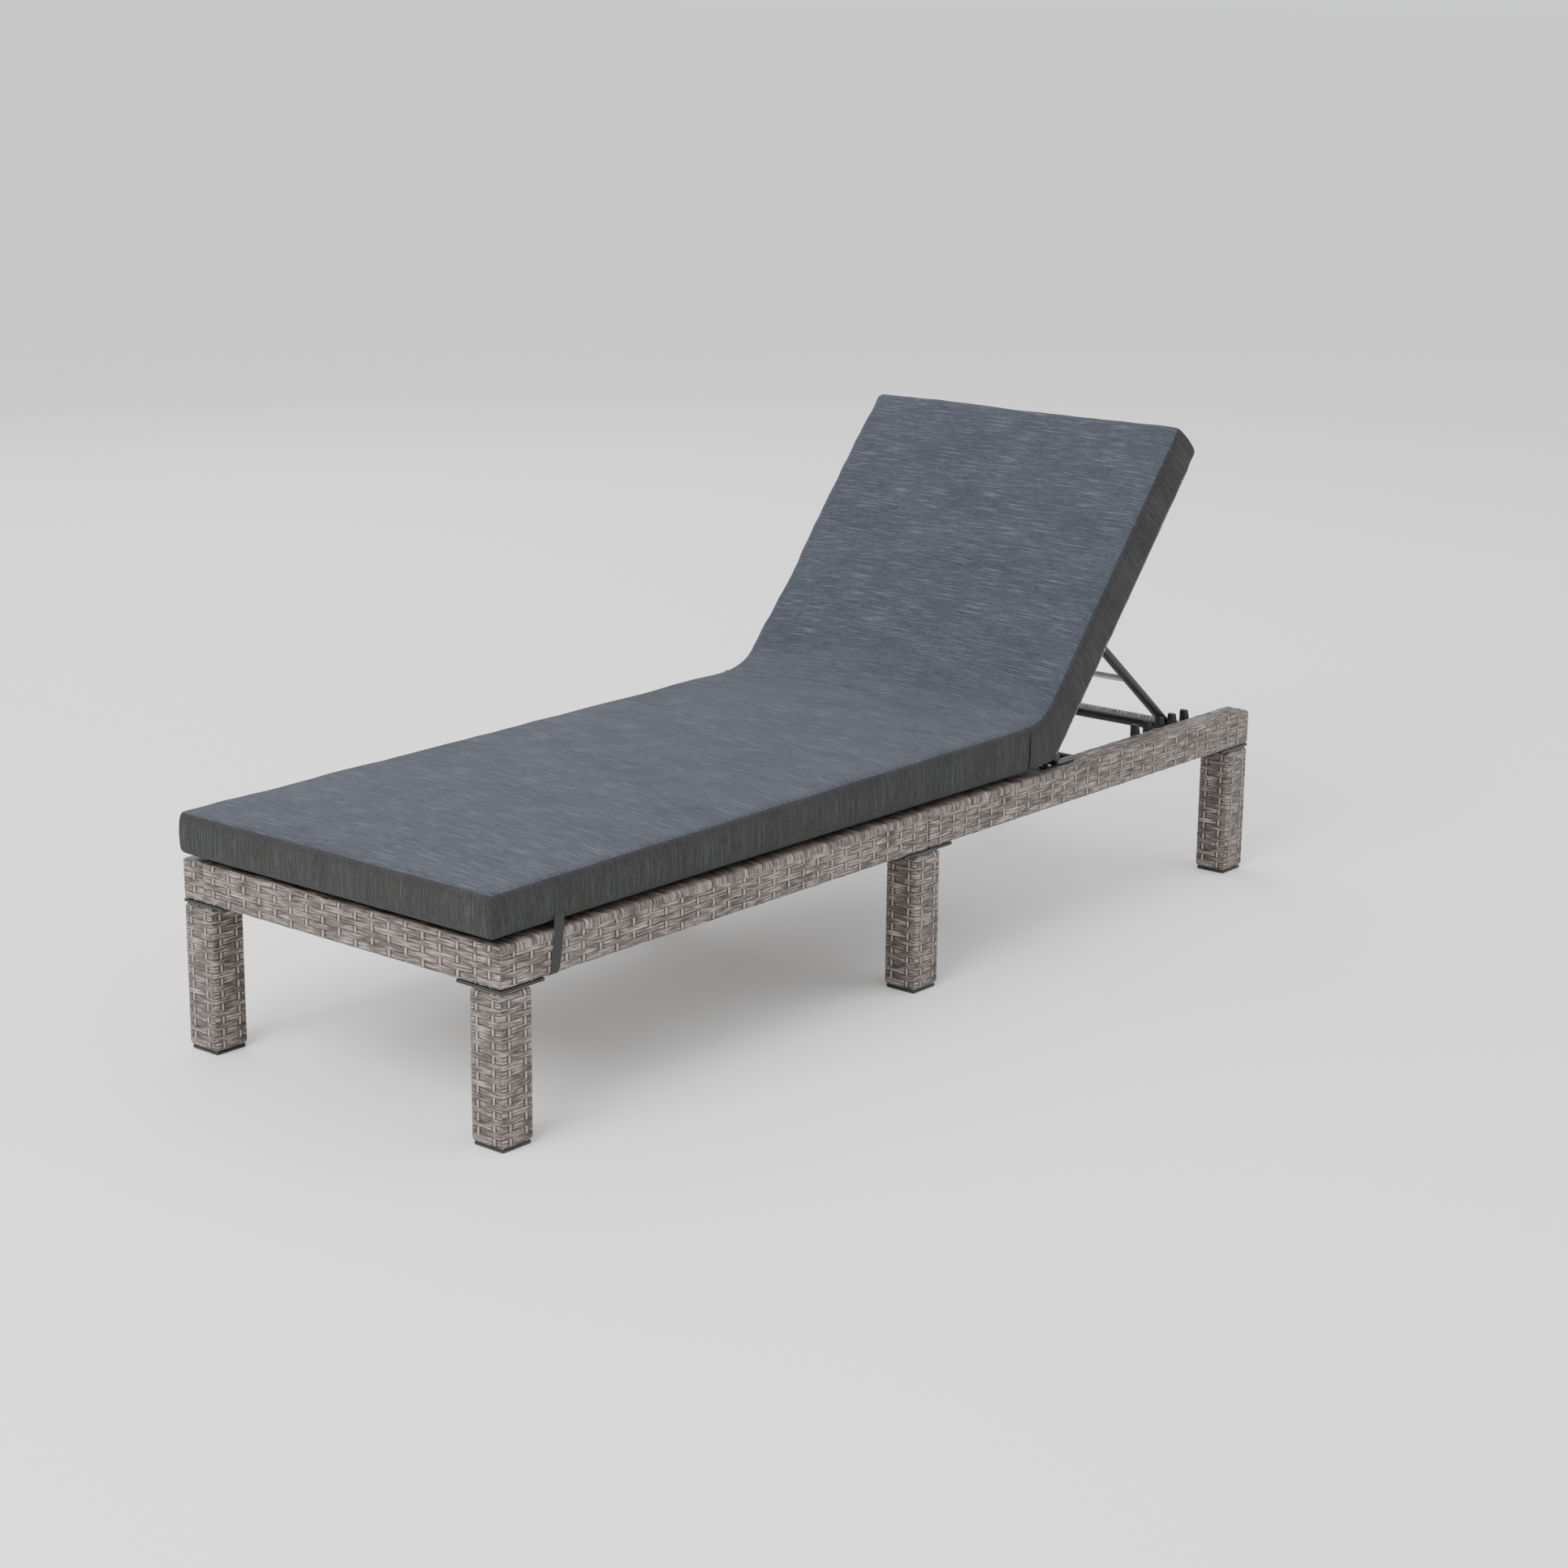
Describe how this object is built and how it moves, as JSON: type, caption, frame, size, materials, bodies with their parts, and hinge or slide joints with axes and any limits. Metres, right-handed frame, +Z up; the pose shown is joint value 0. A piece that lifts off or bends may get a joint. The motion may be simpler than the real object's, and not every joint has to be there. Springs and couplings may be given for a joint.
{
  "type": "reclining sun lounger",
  "caption": "Long woven garden lounger on box legs, with a hinged backrest held up by a swinging stand in toothed racks, and a padded cushion.",
  "frame": {"origin": "centre of the rest-pose bounding box on the ground, under the lounger", "axes": "+X from the foot end to the head end, +Y across to the right of someone lying on it, +Z up from the ground"},
  "size_m": [2.02, 0.7042, 0.875],
  "materials": {
    "polyrattan": "woven synthetic rattan in mixed grey-brown tones",
    "dark_powder_coat": "black powder coat",
    "core_steel": "bare drawn tube",
    "zinc_steel": "bright zinc",
    "grey_lacquer": "pale grey-green lacquer",
    "black_nylon": "moulded black nylon",
    "cushion_fabric": "slate slub weave",
    "strap_webbing": "dark webbing"
  },
  "bodies": {
    "frame": {"bracket_screw_left": "zinc_steel", "bracket_screw_right": "zinc_steel", "cushion_strap_left": "strap_webbing", "cushion_strap_right": "strap_webbing", "deck_tube_middle": "dark_powder_coat", "deck_tube_rear": "dark_powder_coat", "fixed_cross_tube": "dark_powder_coat", "foot_rail": "polyrattan", "foot_rail_core": "core_steel", "glide_foot_left": "black_nylon", "glide_foot_right": "black_nylon", "glide_head_left": "black_nylon", "glide_head_right": "black_nylon", "glide_mid_left": "black_nylon", "glide_mid_right": "black_nylon", "head_cross_tube": "polyrattan", "hinge_bracket_left": "dark_powder_coat", "hinge_bracket_right": "dark_powder_coat", "hinge_pin_left": "black_nylon", "hinge_pin_right": "black_nylon", "leg_core_foot_left": "core_steel", "leg_core_foot_right": "core_steel", "leg_core_head_left": "core_steel", "leg_core_head_right": "core_steel", "leg_core_mid_left": "core_steel", "leg_core_mid_right": "core_steel", "leg_foot_left": "polyrattan", "leg_foot_right": "polyrattan", "leg_head_left": "polyrattan", "leg_head_right": "polyrattan", "leg_mid_left": "polyrattan", "leg_mid_right": "polyrattan", "leg_plate_foot_left": "dark_powder_coat", "leg_plate_foot_right": "dark_powder_coat", "leg_plate_head_left": "dark_powder_coat", "leg_plate_head_right": "dark_powder_coat", "leg_plate_mid_left": "dark_powder_coat", "leg_plate_mid_right": "dark_powder_coat", "rail_core_foot_left": "core_steel", "rail_core_foot_right": "core_steel", "rail_core_head_left": "core_steel", "rail_core_head_right": "core_steel", "seat_cushion": "cushion_fabric", "seat_deck": "polyrattan", "side_rail_foot_left": "polyrattan", "side_rail_foot_right": "polyrattan", "side_rail_head_left": "polyrattan", "side_rail_head_right": "polyrattan", "stand_rack_left": "black_nylon", "stand_rack_right": "black_nylon"},
    "backrest": {"back_cushion": "cushion_fabric", "backrest_panel": "polyrattan", "backrest_side_tube_left": "dark_powder_coat", "backrest_side_tube_right": "dark_powder_coat", "backrest_top_tube": "dark_powder_coat", "stand_pivot_rod": "zinc_steel"},
    "stand": {"stand_arm_left": "dark_powder_coat", "stand_arm_right": "dark_powder_coat", "stand_brace": "grey_lacquer", "stand_foot_bar": "dark_powder_coat"}
  },
  "joints": [
    {"name": "recline", "type": "hinge", "parent": "frame", "child": "backrest", "pos_m": [0.405, 0, 0.327], "axis": [0, -1, 0], "range_deg": [-50, 21]},
    {"name": "stand_swing", "type": "hinge", "parent": "backrest", "child": "stand", "pos_m": [0.5657, 0, 0.51851], "axis": [0, 1, 0], "range_deg": [-82.5, 35]}
  ],
  "couplings": [
    {"joint": "stand_swing", "follows": "recline", "ratio": 1.64}
  ]
}
